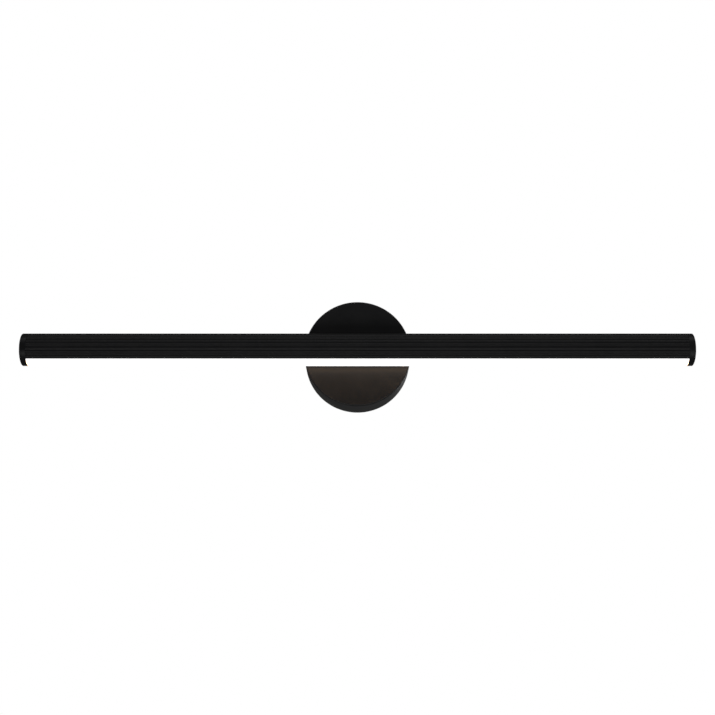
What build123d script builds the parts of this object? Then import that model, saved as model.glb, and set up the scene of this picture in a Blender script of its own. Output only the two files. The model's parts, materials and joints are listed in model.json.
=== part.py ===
from build123d import *

import math
import os

# Vanity light bar: a fluted round bar, lit along its underside, that stands off a round wall canopy.
# Millimetres. +X runs along the bar, +Z is up, and the wall is the plane Y = 0 with the lamp at -Y.
# The origin is the centre of the junction box slots, on the wall.

# ---- driving dimensions -------------------------------------------------------------------------

BAR_LENGTH = 762.0          # 30 in over the end caps
BAR_R = 18.5                # outer radius of the bar, over the ridges
BAR_Y = -70.5               # the bar's long axis, in front of the wall
CAP_T = 7.0                 # end cap thickness
CAP_EDGE = 0.6              # chamfer of the end cap's outer edge
CAP_SCREW_LENGTH = 16.0

CANOPY_R = 61.5
CANOPY_FACE_Y = -50.0       # front face of the canopy
CANOPY_EDGE_R = 1.8         # rounding between face and side
CANOPY_WALL = 1.2
GASKET_T = 1.5
GASKET_R = 61.0
GASKET_BORE_R = 59.0

AIM_OUT = 45.0              # degrees the light turns from straight down towards the room
AIM_IN = 10.0               # degrees it turns towards the wall

# ---- bar section, in its own plane: u towards the room, v up, angles from u ---------------------

FLUTE_COUNT = 22
FLUTE_PITCH = 12.0          # degrees
FLUTE_START = -42.0         # a plain land is left between the last flute and each lower edge
FLUTE_DEPTH = 0.45
FLUTE_LAND = 0.9            # ridge left between two flutes
HOUSING_START = -45.0       # lower front edge
HOUSING_END = 225.0         # lower back edge
WALL = 2.1
INNER_R = BAR_R - WALL
WEB_TOP = -7.6              # web that carries the light engine
WEB_T = 1.5
WEB_BOTTOM = WEB_TOP - WEB_T
PORT_ANGLES = (30.0, 150.0)
PORT_CENTRE_R = 14.2
PORT_R = 3.0
PORT_HOLE_R = 1.5
BEAD_U = 11.4               # inner face of the bead that the diffuser snaps over
BEAD_TOP = WEB_BOTTOM - 1.05
WELD = 0.3                  # how far an inner rib runs into the wall it grows from

DIFFUSER_T = 1.5
DIFFUSER_GAP = 0.5          # degrees left at each housing edge
LEG_IN = 10.0
LEG_OUT = 11.2
LEG_TOP = WEB_BOTTOM - 0.3
BARB_REACH = 1.3
BARB_T = 0.6

BOARD_W = 18.0
BOARD_T = 1.6
BOARD_LENGTH = 742.0
CHIP_PITCH = 10.0
CHIP_COUNT = 74
CHIP_SIZE = (3.5, 2.8, 0.7)
BOARD_SCREW_X = (-360.0, -240.0, -120.0, 120.0, 240.0, 360.0)
BOARD_SCREW_R = 1.25
BOARD_HEAD_R = 2.2
BOARD_HEAD_T = 1.2

# ---- stem and pivot -----------------------------------------------------------------------------

NECK_R = 4.0
STEM_BORE_R = 2.5
COLLAR_R = 8.0
COLLAR_GAP = 0.7            # collar's front face to the back of the bar
COLLAR_EDGE = 0.5
TAIL_LENGTH = 11.5          # threaded tail, behind the canopy's front face
NUT_ACROSS = 13.0
NUT_T = 5.0
LOCK_WASHER_R = 7.5
LOCK_WASHER_T = 1.2
LOCK_TOOTH_COUNT = 12
LOCK_TOOTH_R = 0.7
HUB_R = 7.0
HUB_HALF = 7.0
NECK_IN_HUB = 2.0
AXLE_R = 5.0
AXLE_HALF = 19.0
WASHER_T = 1.1
BLOCK_START = 8.15
BLOCK_T = 8.0
BLOCK_R = 7.6
BLOCK_BORE_R = 5.05         # running fit on the axle
BLOCK_FLANGE_HALF = 11.5
BLOCK_FLANGE_T = 3.0
BLOCK_SCREW_U = 9.6
RING_GAP = 0.1
RING_T = 1.0
RING_GROOVE_R = 4.4
RING_R = 6.6
SLOT_CLEARANCE = 0.3
SLOT_INNER_R = 8.5
SLOT_OUTER_R = 20.0

# ---- wall side ----------------------------------------------------------------------------------

PLATE_T = 2.0
STRAP_HALF_Z = 16.0
PANEL_HALF_X = 40.0
PANEL_TOP = 43.0
EAR_OUT = 57.5
EAR_T = 2.0
EAR_HALF_Z = 8.0
EAR_REACH = 19.0
BOX_SCREW_SPACING = 88.9    # 3.5 in junction box ears
BOX_SLOT_LENGTH = 14.0
BOX_SLOT_R = 2.5
SIDE_SCREW_Y = -12.0
SIDE_SCREW_R = 2.0
SIDE_SCREW_HOLE_R = 2.25
SIDE_SCREW_LENGTH = 8.0
SIDE_HEAD_R = 3.5
SIDE_HEAD_T = 2.2
GROUND_X = -26.0
GROUND_R = 2.0
GROUND_HEAD_R = 4.0
GROUND_HEAD_T = 2.4

DRIVER_HALF_X = 30.0
DRIVER_Z = (17.0, 42.0)
DRIVER_DEPTH = 20.0
DRIVER_WALL = 1.5
DRIVER_TAB_X = 38.0
DRIVER_TAB_Z = (25.0, 34.0)
DRIVER_BASE_T = 1.5
DRIVER_SCREW_X = 34.5
DRIVER_SCREW_R = 1.5
DRIVER_SCREW_HOLE_R = 1.7
DRIVER_HEAD_R = 2.8
DRIVER_HEAD_T = 2.0
CIRCUIT_BOARD_Y = -6.0
CIRCUIT_BOARD_T = 1.6
BOARD_PLAY = 0.2
POST_R = 1.5
POST_INSET = 2.0
TRANSFORMER_X = (-10.0, 8.0)
TRANSFORMER_Z = (25.5, 39.5)
TRANSFORMER_T = 10.5
INPUT_CAPACITOR = (20.0, 33.0, 5.0, 10.0)       # x, z, radius, height above the circuit board
OUTPUT_CAPACITOR = (-20.0, 34.0, 4.0, 9.0)
CHOKE = (-20.0, 24.0, 4.2, 7.0)
CHOKE_BORE_R = 1.8

TERMINAL_X = (12.0, 30.0)
TERMINAL_Z = (-8.0, 6.0)
TERMINAL_DEPTH = 13.0
TERMINAL_EDGE = 1.0
TERMINAL_RECESS = 4.0
TERMINAL_RECESS_R = 2.9
TERMINAL_SCREW_R = 1.5
TERMINAL_HEAD_R = 2.7
TERMINAL_HEAD_T = 2.0
TERMINAL_FUNNEL_R = 1.8
TERMINAL_FUNNEL_DEPTH = 5.0

# ---- leads --------------------------------------------------------------------------------------

LEAD_R = 1.5
SUPPLY_R = 1.0
SUPPLY_X = (16.5, 25.5)
SUPPLY_Y = -9.0
LAMP_LEAD_Y = -12.0
LEAD_IN_DRIVER = 4.0
LEAD_BENDS = (9.0, 2.2)     # into the stem, and round the corner into the axle
LEAD_DROP_BEND = 4.5
LEAD_DROP_X = 40.0          # where the lead goes down through the web
TWIST_GAP = 0.4             # between the two leads, on the turning axis
GROMMET_R = 2.5
GROMMET_FLANGE_R = 3.6
GROMMET_FLANGE_T = 1.0

# ---- screws -------------------------------------------------------------------------------------

SINK_HEAD_R = 2.7
SINK_HEAD_T = 1.3
SINK_PLAY = 0.1
SOCKET_SHARE = 0.45         # hexagon socket's radius, as a share of the head's
HEAD_ROUNDING = 0.45        # rounding of a pan head, as a share of its height
RECESS_SHARE = 0.25         # width of a cross recess, as a share of the head's radius


# ---- helpers ------------------------------------------------------------------------------------

def bar_plane(x):
    """The bar's section plane at x: local x is u, local y is v, and it extrudes towards -X."""
    return Plane(origin=(x, BAR_Y, 0), x_dir=(0, -1, 0), z_dir=(-1, 0, 0))


def polar(radius, angle):
    return (radius * math.cos(math.radians(angle)), radius * math.sin(math.radians(angle)))


def shape_uv(*points):
    """A filled outline through points of the section plane."""
    return make_face(Polyline(*points, close=True))


def rect_uv(low_u, high_u, low_v, high_v):
    return shape_uv((low_u, low_v), (high_u, low_v), (high_u, high_v), (low_u, high_v))


def sector(start, end):
    """A pie slice that reaches outside the bar, under 180 degrees wide."""
    reach = 4 * BAR_R
    middle = (start + end) / 2
    return shape_uv((0, 0), polar(reach, start), polar(reach, middle), polar(reach, end))


def block(x, y, z):
    """A box from its (low, high) pairs."""
    size = Box(x[1] - x[0], y[1] - y[0], z[1] - z[0])
    return Pos((x[0] + x[1]) / 2, (y[0] + y[1]) / 2, (z[0] + z[1]) / 2) * size


def rod(start, direction, radius, length):
    """A cylinder that starts at a point and runs along a direction."""
    plane = Plane(origin=start, z_dir=direction)
    return plane * Pos(0, 0, length / 2) * Cylinder(radius, length)


def countersunk_screw(tip_to_head, head_at, direction, shank_r, head_r, head_t):
    """A countersunk screw whose flat head face is at head_at; direction points from head to tip."""
    plane = Plane(origin=head_at, z_dir=direction)
    cone = Pos(0, 0, head_t / 2) * Cone(head_r, shank_r, head_t)
    shank = Pos(0, 0, tip_to_head / 2) * Cylinder(shank_r, tip_to_head)
    socket = Pos(0, 0, head_t / 4) * extrude(RegularPolygon(head_r * SOCKET_SHARE, 6), head_t / 4,
                                         both=True)
    return plane * (cone + shank - socket)


def pan_screw(tip_to_seat, seat_at, direction, shank_r, head_r, head_t):
    """A pan head screw seated at seat_at; direction points from head to tip."""
    plane = Plane(origin=seat_at, z_dir=direction)
    head = Pos(0, 0, -head_t / 2) * Cylinder(head_r, head_t)
    head = fillet(head.edges().group_by(Axis.Z)[0], head_t * HEAD_ROUNDING)
    shank = Pos(0, 0, tip_to_seat / 2) * Cylinder(shank_r, tip_to_seat)
    recess = Pos(0, 0, -head_t) * Box(head_r, head_r * RECESS_SHARE, head_t)
    cross = Pos(0, 0, -head_t) * Box(head_r * RECESS_SHARE, head_r, head_t)
    return plane * (head + shank - recess - cross)


def lead(points, radii, radius):
    """A round lead along straight runs joined by tangent arcs."""
    path = FilletPolyline(*points, radius=radii)
    start = Plane(origin=path @ 0, z_dir=path % 0)
    return sweep(start * Circle(radius), path=path)


def group(solids):
    return Compound(children=list(solids))


# ---- light bar ----------------------------------------------------------------------------------

def flute_cutter(angle):
    """The round-nosed groove between two ridges."""
    half_width = BAR_R * math.sin(math.radians(FLUTE_PITCH / 2)) - FLUTE_LAND / 2
    radius = (half_width ** 2 + FLUTE_DEPTH ** 2) / (2 * FLUTE_DEPTH)
    centre = polar(BAR_R - FLUTE_DEPTH + radius, angle)
    return Pos(*centre) * Circle(radius)


def housing_section():
    section = Circle(BAR_R) - Circle(INNER_R)
    section -= sector(HOUSING_END, HOUSING_START + 360)
    for index in range(FLUTE_COUNT):
        section -= flute_cutter(FLUTE_START + FLUTE_PITCH * (index + 0.5))
    inside = Circle(INNER_R + WELD)
    section += rect_uv(-BAR_R, BAR_R, WEB_BOTTOM, WEB_TOP) & inside
    for angle in PORT_ANGLES:
        place = Pos(*polar(PORT_CENTRE_R, angle))
        section += place * Circle(PORT_R) & inside
        section -= place * Circle(PORT_HOLE_R)
    lip_u, lip_v = polar(INNER_R + 2 * WELD, HOUSING_START)
    bead_wall = math.sqrt(INNER_R ** 2 - BEAD_TOP ** 2) + WELD
    for side in (1, -1):
        section += shape_uv((side * BEAD_U, BEAD_TOP), (side * bead_wall, BEAD_TOP),
                            (side * lip_u, lip_v), (side * BEAD_U, lip_v + 2 * WELD))
    return section


def stem_slot():
    """The arc-shaped slot that lets the neck through, with a round end at each stop."""
    half = NECK_R + SLOT_CLEARANCE
    first = 180 - AIM_OUT
    last = 180 + AIM_IN
    ring = (Circle(SLOT_OUTER_R) - Circle(SLOT_INNER_R)) & sector(first, last)
    slot = extrude(bar_plane(half) * ring, 2 * half)
    for angle in (first, last):
        u, v = polar(1, angle)
        start = (0, BAR_Y - SLOT_INNER_R * u, SLOT_INNER_R * v)
        slot += rod(start, (0, -u, v), half, SLOT_OUTER_R - SLOT_INNER_R)
    return slot


def block_screw_places():
    for side in (-1, 1):
        for u in (-BLOCK_SCREW_U, BLOCK_SCREW_U):
            yield (side * (BLOCK_START + BLOCK_T / 2), BAR_Y - u, WEB_BOTTOM)


def make_housing():
    length = BAR_LENGTH - 2 * CAP_T
    housing = extrude(bar_plane(length / 2) * housing_section(), length)
    housing -= stem_slot()
    for x, y, z in block_screw_places():
        housing -= Pos(x, y, z + SINK_HEAD_T / 2) * Cone(SINK_HEAD_R + SINK_PLAY,
                                                         PORT_HOLE_R + SINK_PLAY, SINK_HEAD_T)
        housing -= rod((x, y, z), (0, 0, 1), PORT_HOLE_R + SINK_PLAY, WEB_T)
    for x in BOARD_SCREW_X:
        housing -= rod((x, BAR_Y, WEB_BOTTOM), (0, 0, 1), BOARD_SCREW_R, WEB_T)
    housing -= rod((LEAD_DROP_X, BAR_Y, WEB_BOTTOM), (0, 0, 1), GROMMET_R, WEB_T)
    return housing


def make_diffuser():
    inner = BAR_R - DIFFUSER_T
    window = sector(HOUSING_END + DIFFUSER_GAP, HOUSING_START + 360 - DIFFUSER_GAP)
    section = (Circle(BAR_R) - Circle(inner)) & window
    for side in (1, -1):
        low, high = sorted((side * LEG_IN, side * LEG_OUT))
        section += rect_uv(low, high, -BAR_R, LEG_TOP) & Circle(inner + WELD)
        low, high = sorted((side * LEG_IN, side * (LEG_OUT + BARB_REACH)))
        section += rect_uv(low, high, LEG_TOP - BARB_T, LEG_TOP)
    length = BAR_LENGTH - 2 * CAP_T
    return extrude(bar_plane(length / 2) * section, length)


def make_led_board():
    half = BOARD_LENGTH / 2
    board = block((-half, half), (BAR_Y - BOARD_W / 2, BAR_Y + BOARD_W / 2),
                  (WEB_BOTTOM - BOARD_T, WEB_BOTTOM))
    for x in BOARD_SCREW_X:
        board -= rod((x, BAR_Y, WEB_BOTTOM), (0, 0, -1), BOARD_SCREW_R, BOARD_T)
    return board


def make_led_chips():
    long, wide, tall = CHIP_SIZE
    first = -CHIP_PITCH * (CHIP_COUNT - 1) / 2
    z = WEB_BOTTOM - BOARD_T - tall / 2
    return group(Pos(first + CHIP_PITCH * index, BAR_Y, z) * Box(long, wide, tall)
                 for index in range(CHIP_COUNT))


def make_board_screws():
    seat_z = WEB_BOTTOM - BOARD_T
    return group(pan_screw(BOARD_T + WEB_T, (x, BAR_Y, seat_z), (0, 0, 1),
                           BOARD_SCREW_R, BOARD_HEAD_R, BOARD_HEAD_T) for x in BOARD_SCREW_X)


def cap_screw_places(side):
    for angle in PORT_ANGLES:
        u, v = polar(PORT_CENTRE_R, angle)
        yield (side * BAR_LENGTH / 2, BAR_Y - u, v)


def make_end_cap(side):
    outer_x = side * BAR_LENGTH / 2
    cap = rod((outer_x, BAR_Y, 0), (-side, 0, 0), BAR_R, CAP_T)
    cap = chamfer(cap.edges().group_by(Axis.X)[-1 if side > 0 else 0], CAP_EDGE)
    for place in cap_screw_places(side):
        plane = Plane(origin=place, z_dir=(-side, 0, 0))
        cap -= plane * Pos(0, 0, SINK_HEAD_T / 2) * Cone(SINK_HEAD_R + SINK_PLAY,
                                                         PORT_HOLE_R + SINK_PLAY, SINK_HEAD_T)
        cap -= rod(place, (-side, 0, 0), PORT_HOLE_R + SINK_PLAY, CAP_T)
    return cap


def make_end_cap_screws():
    return group(countersunk_screw(CAP_SCREW_LENGTH, place, (-side, 0, 0),
                                   PORT_HOLE_R, SINK_HEAD_R, SINK_HEAD_T)
                 for side in (-1, 1) for place in cap_screw_places(side))


# ---- pivot inside the bar -----------------------------------------------------------------------

def make_bearing_block(side):
    flange = rect_uv(-BLOCK_FLANGE_HALF, BLOCK_FLANGE_HALF, WEB_TOP, WEB_TOP + BLOCK_FLANGE_T)
    section = flange + Circle(BLOCK_R) + rect_uv(-BLOCK_R, BLOCK_R, WEB_TOP, 0)
    section -= Circle(BLOCK_BORE_R)
    high_x = BLOCK_START + BLOCK_T if side > 0 else -BLOCK_START
    body = extrude(bar_plane(high_x) * section, BLOCK_T)
    for x, y, z in block_screw_places():
        body -= rod((x, y, WEB_TOP), (0, 0, 1), PORT_HOLE_R, BLOCK_FLANGE_T)
    return body


def make_bearing_screws():
    length = WEB_T + BLOCK_FLANGE_T
    return group(countersunk_screw(length, place, (0, 0, 1), PORT_HOLE_R, SINK_HEAD_R, SINK_HEAD_T)
                 for place in block_screw_places())


def ring_span():
    start = BLOCK_START + BLOCK_T + RING_GAP
    return start, start + RING_T


def make_pivot_axle():
    axle = rod((-AXLE_HALF, BAR_Y, 0), (1, 0, 0), AXLE_R, 2 * AXLE_HALF)
    axle += rod((-HUB_HALF, BAR_Y, 0), (1, 0, 0), HUB_R, 2 * HUB_HALF)
    start, end = ring_span()
    for side in (-1, 1):
        tube = Cylinder(AXLE_R, RING_T) - Cylinder(RING_GROOVE_R, RING_T)
        axle -= Pos(side * (start + end) / 2, BAR_Y, 0) * Rot(0, 90, 0) * tube
    axle -= rod((-AXLE_HALF, BAR_Y, 0), (1, 0, 0), STEM_BORE_R, 2 * AXLE_HALF)
    axle -= rod((0, BAR_Y, 0), (0, 1, 0), STEM_BORE_R, HUB_R)
    axle -= rod((0, BAR_Y + HUB_R - NECK_IN_HUB, 0), (0, 1, 0), NECK_R, NECK_IN_HUB)
    return axle


def washer(side, start, thickness, bore_r, outer_r):
    ring = Cylinder(outer_r, thickness) - Cylinder(bore_r, thickness)
    return Pos(side * (start + thickness / 2), BAR_Y, 0) * Rot(0, 90, 0) * ring


def make_friction_washers():
    return group(washer(side, HUB_HALF, WASHER_T, AXLE_R, HUB_R) for side in (-1, 1))


def make_retaining_rings():
    start, end = ring_span()
    return group(washer(side, start, end - start, RING_GROOVE_R, RING_R) for side in (-1, 1))


def make_stem():
    """Thread, collar and neck turned in one piece, hollow for the lead."""
    bar_back_y = BAR_Y + BAR_R
    collar_front_y = bar_back_y + COLLAR_GAP
    neck_end_y = BAR_Y + HUB_R - NECK_IN_HUB
    tail_end_y = CANOPY_FACE_Y + TAIL_LENGTH
    stem = rod((0, tail_end_y, 0), (0, -1, 0), NECK_R, tail_end_y - neck_end_y)
    collar = rod((0, CANOPY_FACE_Y, 0), (0, -1, 0), COLLAR_R, CANOPY_FACE_Y - collar_front_y)
    stem += chamfer(collar.edges().group_by(Axis.Y)[0], COLLAR_EDGE)
    return stem - rod((0, tail_end_y, 0), (0, -1, 0), STEM_BORE_R, tail_end_y - neck_end_y)


def make_lock_washer():
    inner_face = CANOPY_FACE_Y + CANOPY_WALL
    ring = rod((0, inner_face, 0), (0, 1, 0), LOCK_WASHER_R, LOCK_WASHER_T)
    ring -= rod((0, inner_face, 0), (0, 1, 0), NECK_R, LOCK_WASHER_T)
    for index in range(LOCK_TOOTH_COUNT):
        x, z = polar(LOCK_WASHER_R, 360 * index / LOCK_TOOTH_COUNT)
        ring -= rod((x, inner_face, z), (0, 1, 0), LOCK_TOOTH_R, LOCK_WASHER_T)
    return ring


def make_stem_nut():
    seat_y = CANOPY_FACE_Y + CANOPY_WALL + LOCK_WASHER_T
    plane = Plane(origin=(0, seat_y, 0), x_dir=(1, 0, 0), z_dir=(0, 1, 0))
    nut = extrude(plane * RegularPolygon(NUT_ACROSS / 2, 6, major_radius=False), NUT_T)
    return nut - rod((0, seat_y, 0), (0, 1, 0), NECK_R, NUT_T)


# ---- canopy and wall plate ----------------------------------------------------------------------

def make_canopy():
    """A drawn cup, open to the wall."""
    depth = -CANOPY_FACE_Y - GASKET_T
    solid = rod((0, -GASKET_T, 0), (0, -1, 0), CANOPY_R, depth)
    solid = fillet(solid.edges().group_by(Axis.Y)[0], CANOPY_EDGE_R)
    hollow = rod((0, -GASKET_T, 0), (0, -1, 0), CANOPY_R - CANOPY_WALL, depth - CANOPY_WALL)
    hollow = fillet(hollow.edges().group_by(Axis.Y)[0], CANOPY_EDGE_R - CANOPY_WALL)
    canopy = solid - hollow
    canopy -= rod((0, CANOPY_FACE_Y, 0), (0, 1, 0), NECK_R, CANOPY_WALL)
    for side in (-1, 1):
        start = (side * (CANOPY_R - 3 * CANOPY_WALL), SIDE_SCREW_Y, 0)
        canopy -= rod(start, (side, 0, 0), SIDE_SCREW_HOLE_R, 4 * CANOPY_WALL)
    return canopy


def make_wall_gasket():
    ring = rod((0, -GASKET_T, 0), (0, 1, 0), GASKET_R, GASKET_T)
    return ring - rod((0, -GASKET_T, 0), (0, 1, 0), GASKET_BORE_R, GASKET_T)


def terminal_screw_place():
    return (sum(TERMINAL_X) / 2, -PLATE_T, sum(TERMINAL_Z) / 2)


def make_mounting_plate():
    """A strap with a panel above it for the driver, and an ear folded forward at each end."""
    plate = block((-EAR_OUT, EAR_OUT), (-PLATE_T, 0), (-STRAP_HALF_Z, STRAP_HALF_Z))
    corners = plate.edges().filter_by(Axis.Y)
    plate = chamfer(corners, STRAP_HALF_Z - EAR_HALF_Z)
    panel = block((-PANEL_HALF_X, PANEL_HALF_X), (-PLATE_T, 0), (0, PANEL_TOP))
    plate += fillet(panel.edges().filter_by(Axis.Y).group_by(Axis.Z)[-1], PLATE_T * 2)
    for side in (-1, 1):
        x = sorted((side * (EAR_OUT - EAR_T), side * EAR_OUT))
        plate += block(x, (-EAR_REACH, 0), (-EAR_HALF_Z, EAR_HALF_Z))
        plate -= rod((side * EAR_OUT, SIDE_SCREW_Y, 0), (-side, 0, 0), SIDE_SCREW_R, EAR_T)
        slot = SlotOverall(BOX_SLOT_LENGTH, 2 * BOX_SLOT_R)
        plane = Plane(origin=(side * BOX_SCREW_SPACING / 2, 0, 0), x_dir=(1, 0, 0), z_dir=(0, -1, 0))
        plate -= extrude(plane * slot, PLATE_T)
        place = (side * DRIVER_SCREW_X, 0, sum(DRIVER_TAB_Z) / 2)
        plate -= rod(place, (0, -1, 0), DRIVER_SCREW_R, PLATE_T)
    plate -= rod((GROUND_X, 0, 0), (0, -1, 0), GROUND_R, PLATE_T)
    x, y, z = terminal_screw_place()
    plate -= rod((x, 0, z), (0, -1, 0), TERMINAL_SCREW_R, PLATE_T)
    return plate


def make_canopy_screws():
    return group(pan_screw(SIDE_SCREW_LENGTH, (side * CANOPY_R, SIDE_SCREW_Y, 0), (-side, 0, 0),
                           SIDE_SCREW_R, SIDE_HEAD_R, SIDE_HEAD_T) for side in (-1, 1))


def make_ground_screw():
    return pan_screw(PLATE_T, (GROUND_X, -PLATE_T, 0), (0, 1, 0),
                     GROUND_R, GROUND_HEAD_R, GROUND_HEAD_T)


# ---- driver and wiring --------------------------------------------------------------------------

def driver_front():
    return -PLATE_T - DRIVER_DEPTH


def make_driver_base():
    y = (-PLATE_T - DRIVER_BASE_T, -PLATE_T)
    base = block((-DRIVER_HALF_X, DRIVER_HALF_X), y, DRIVER_Z)
    base += block((-DRIVER_TAB_X, DRIVER_TAB_X), y, DRIVER_TAB_Z)
    for side in (-1, 1):
        place = (side * DRIVER_SCREW_X, -PLATE_T, sum(DRIVER_TAB_Z) / 2)
        base -= rod(place, (0, -1, 0), DRIVER_SCREW_HOLE_R, DRIVER_BASE_T)
    return base


def lead_ends():
    """The two supply leads and the lamp lead where they enter the driver, as (x, y, radius)."""
    return [(x, SUPPLY_Y, SUPPLY_R) for x in SUPPLY_X] + [(0, LAMP_LEAD_Y, LEAD_R)]


def make_driver_cover():
    back = -PLATE_T - DRIVER_BASE_T
    low_z, high_z = DRIVER_Z
    cover = block((-DRIVER_HALF_X, DRIVER_HALF_X), (driver_front(), back), DRIVER_Z)
    cover = fillet(cover.faces().sort_by(Axis.Y)[0].edges(), DRIVER_WALL)
    inside_x = DRIVER_HALF_X - DRIVER_WALL
    cover -= block((-inside_x, inside_x), (driver_front() + DRIVER_WALL, back),
                   (low_z + DRIVER_WALL, high_z - DRIVER_WALL))
    for x, y, radius in lead_ends():
        cover -= rod((x, y, low_z), (0, 0, 1), radius, DRIVER_WALL)
    return cover


def make_driver_board():
    inside_x = DRIVER_HALF_X - DRIVER_WALL - BOARD_PLAY
    low_z, high_z = DRIVER_Z
    inset = DRIVER_WALL + BOARD_PLAY
    y = (CIRCUIT_BOARD_Y - CIRCUIT_BOARD_T, CIRCUIT_BOARD_Y)
    board = block((-inside_x, inside_x), y, (low_z + inset, high_z - inset))
    for side in (-1, 1):
        for z in (low_z + 3 * inset, high_z - 3 * inset):
            post = (side * (inside_x - POST_INSET), CIRCUIT_BOARD_Y, z)
            board += rod(post, (0, 1, 0), POST_R, -PLATE_T - DRIVER_BASE_T - CIRCUIT_BOARD_Y)
    return board


def make_driver_components():
    """Transformer, two capacitors and a choke standing on the circuit board."""
    front = CIRCUIT_BOARD_Y - CIRCUIT_BOARD_T
    parts = [block(TRANSFORMER_X, (front - TRANSFORMER_T, front), TRANSFORMER_Z)]
    for x, z, radius, height in (INPUT_CAPACITOR, OUTPUT_CAPACITOR, CHOKE):
        parts.append(rod((x, front, z), (0, -1, 0), radius, height))
    x, z, radius, height = CHOKE
    parts[-1] -= rod((x, front, z), (0, -1, 0), CHOKE_BORE_R, height)
    return group(parts)


def make_driver_screws():
    z = sum(DRIVER_TAB_Z) / 2
    seat_y = -PLATE_T - DRIVER_BASE_T
    return group(pan_screw(PLATE_T + DRIVER_BASE_T, (side * DRIVER_SCREW_X, seat_y, z), (0, 1, 0),
                           DRIVER_SCREW_R, DRIVER_HEAD_R, DRIVER_HEAD_T) for side in (-1, 1))


def make_terminal_block():
    body = block(TERMINAL_X, (-PLATE_T - TERMINAL_DEPTH, -PLATE_T), TERMINAL_Z)
    body = chamfer(body.faces().sort_by(Axis.Y)[0].edges(), TERMINAL_EDGE)
    x, y, z = terminal_screw_place()
    body -= rod((x, y, z), (0, -1, 0), TERMINAL_SCREW_R, TERMINAL_DEPTH)
    seat_y = y - TERMINAL_DEPTH + TERMINAL_RECESS
    body -= rod((x, seat_y, z), (0, -1, 0), TERMINAL_RECESS_R, TERMINAL_RECESS)
    low_z, high_z = TERMINAL_Z
    depth = TERMINAL_FUNNEL_DEPTH
    for supply_x in SUPPLY_X:
        body -= rod((supply_x, SUPPLY_Y, low_z), (0, 0, 1), TERMINAL_FUNNEL_R, depth)
        body -= rod((supply_x, SUPPLY_Y, high_z), (0, 0, -1), SUPPLY_R, depth)
    return body


def make_terminal_screw():
    x, y, z = terminal_screw_place()
    grip = TERMINAL_DEPTH - TERMINAL_RECESS
    return pan_screw(grip + PLATE_T, (x, y - grip, z), (0, 1, 0),
                     TERMINAL_SCREW_R, TERMINAL_HEAD_R, TERMINAL_HEAD_T)


def make_supply_leads():
    low = TERMINAL_Z[1] - TERMINAL_FUNNEL_DEPTH
    length = DRIVER_Z[0] + LEAD_IN_DRIVER - low
    return group(rod((x, SUPPLY_Y, low), (0, 0, 1), SUPPLY_R, length) for x in SUPPLY_X)


def make_canopy_lead():
    """From the driver into the stem, along its bore and out along the axle."""
    points = [(0, LAMP_LEAD_Y, DRIVER_Z[0] + LEAD_IN_DRIVER),
              (0, LAMP_LEAD_Y, 0),
              (0, BAR_Y, 0),
              (AXLE_HALF, BAR_Y, 0)]
    return lead(points, LEAD_BENDS, LEAD_R)


def make_bar_lead():
    """From the mouth of the axle to the light engine."""
    points = [(AXLE_HALF + TWIST_GAP, BAR_Y, 0),
              (LEAD_DROP_X, BAR_Y, 0),
              (LEAD_DROP_X, BAR_Y, WEB_BOTTOM)]
    return lead(points, [LEAD_DROP_BEND], LEAD_R)


def make_web_grommet():
    base = (LEAD_DROP_X, BAR_Y, WEB_BOTTOM)
    body = rod(base, (0, 0, 1), GROMMET_R, WEB_T)
    body += rod((LEAD_DROP_X, BAR_Y, WEB_TOP), (0, 0, 1), GROMMET_FLANGE_R, GROMMET_FLANGE_T)
    return body - rod(base, (0, 0, 1), LEAD_R, WEB_T + GROMMET_FLANGE_T)


# ---- write the pieces ---------------------------------------------------------------------------

PIECES = {
    "canopy": make_canopy(),
    "wall_gasket": make_wall_gasket(),
    "mounting_plate": make_mounting_plate(),
    "canopy_screws": make_canopy_screws(),
    "ground_screw": make_ground_screw(),
    "driver_base": make_driver_base(),
    "driver_cover": make_driver_cover(),
    "driver_board": make_driver_board(),
    "driver_components": make_driver_components(),
    "driver_screws": make_driver_screws(),
    "terminal_block": make_terminal_block(),
    "terminal_screw": make_terminal_screw(),
    "supply_leads": make_supply_leads(),
    "canopy_lead": make_canopy_lead(),
    "stem": make_stem(),
    "stem_lock_washer": make_lock_washer(),
    "stem_nut": make_stem_nut(),
    "pivot_axle": make_pivot_axle(),
    "friction_washers": make_friction_washers(),
    "retaining_rings": make_retaining_rings(),
    "housing": make_housing(),
    "diffuser": make_diffuser(),
    "led_board": make_led_board(),
    "led_chips": make_led_chips(),
    "led_board_screws": make_board_screws(),
    "end_cap_left": make_end_cap(-1),
    "end_cap_right": make_end_cap(1),
    "end_cap_screws": make_end_cap_screws(),
    "bearing_block_left": make_bearing_block(-1),
    "bearing_block_right": make_bearing_block(1),
    "bearing_screws": make_bearing_screws(),
    "bar_lead": make_bar_lead(),
    "web_grommet": make_web_grommet(),
}

os.makedirs("parts", exist_ok=True)
for name, shape in PIECES.items():
    export_step(shape, f"parts/{name}.step")
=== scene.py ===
# %% [markdown]
# # A fluted vanity light bar
#
# The lamp is a round black bar, ribbed along its length like a classical column, with an opal strip let
# into its underside. It stands off a round canopy on the wall by a short stem, and it can be turned about
# its own axis to aim the light. This script dresses the measured model of that lamp with finer meshes and
# finishes.
#
# The measured model comes first. Everything below takes its place from it, so nothing has to be fitted.

import json
import math

import bmesh
import bpy
from mathutils import Matrix, Vector

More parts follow.
